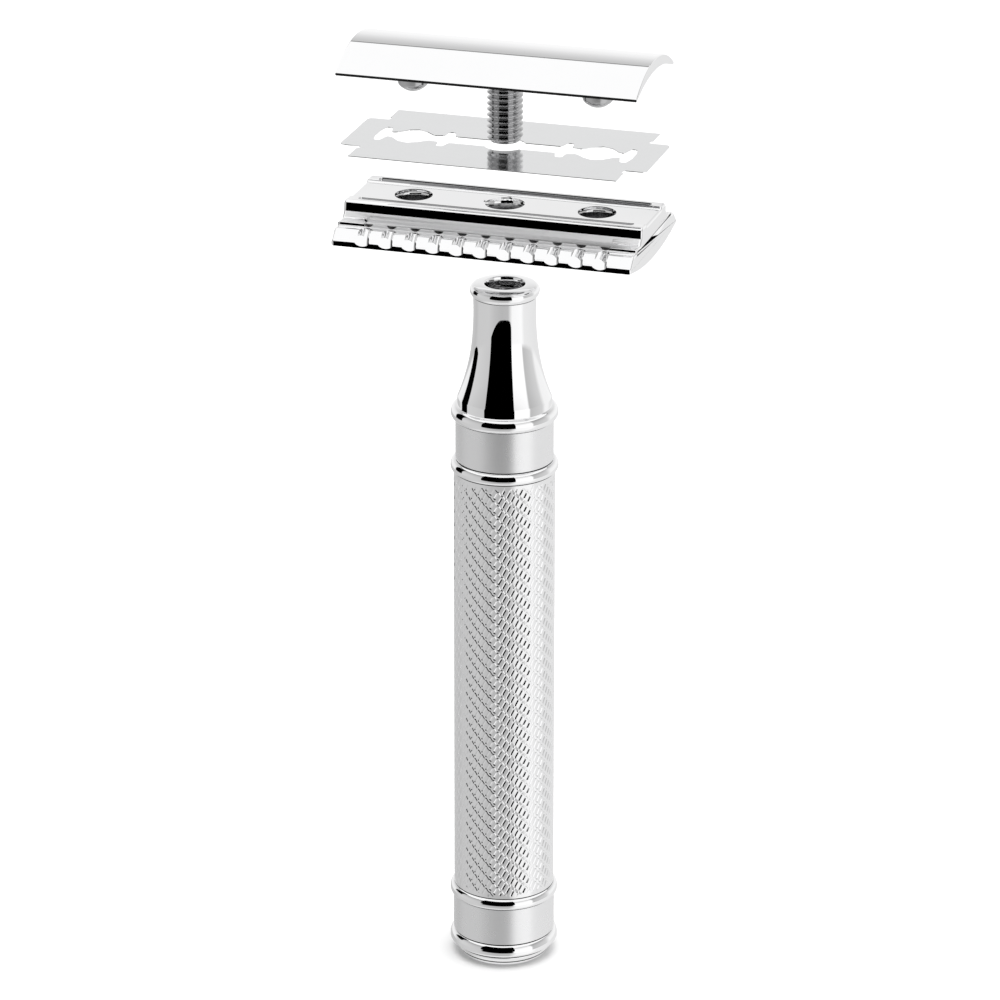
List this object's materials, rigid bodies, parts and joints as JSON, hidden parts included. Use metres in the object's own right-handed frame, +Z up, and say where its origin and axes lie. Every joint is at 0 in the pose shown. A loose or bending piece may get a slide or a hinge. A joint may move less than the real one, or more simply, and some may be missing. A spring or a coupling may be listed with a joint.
{
  "type": "safety razor",
  "caption": "Double-edge safety razor taken apart along its handle: arched cap with threaded stud and pins, slotted blade, scalloped base plate and engraved handle.",
  "frame": {"origin": "centre of the foot's flat lower face, under the upright handle", "axes": "+Z up along the handle, +X along the head's long side, +Y across the head"},
  "size_m": [0.043, 0.0232, 0.1343],
  "materials": {
    "polished_chrome": "mirror-polished chrome plating",
    "satin_chrome": "satin chrome plating, fine turned lines",
    "engraved_chrome": "polished chrome plating over a fine engraved lattice",
    "core_brass": "plain turned brass, out of sight",
    "insert_brass": "bright plated thread bush",
    "blade_steel": "bright ground stainless strip",
    "stud_steel": "plated steel, cut thread"
  },
  "bodies": {
    "handle": {"foot_cap": "polished_chrome", "lower_band": "satin_chrome", "lower_bead": "polished_chrome", "grip_sleeve": "engraved_chrome", "upper_bead": "polished_chrome", "upper_band": "satin_chrome", "handle_core": "core_brass", "neck": "polished_chrome"},
    "bush": {"thread_insert": "insert_brass"},
    "plate": {"base_plate": "polished_chrome"},
    "blade": {"blade": "blade_steel"},
    "cap": {"cap": "polished_chrome", "threaded_stud": "stud_steel", "locating_pins": "stud_steel"}
  },
  "joints": [
    {"name": "head_turn", "type": "hinge", "parent": "handle", "child": "bush", "pos_m": [0, 0, 0.096], "axis": [0, 0, 1], "continuous": true},
    {"name": "plate_lift", "type": "slide", "parent": "bush", "child": "plate", "axis": [0, 0, 1], "range_m": [-0.0089, 0]},
    {"name": "blade_lift", "type": "slide", "parent": "plate", "child": "blade", "axis": [0, 0, 1], "range_m": [-0.00785, 0]},
    {"name": "cap_lift", "type": "slide", "parent": "blade", "child": "cap", "axis": [0, 0, 1], "range_m": [-0.01045, 0]}
  ]
}
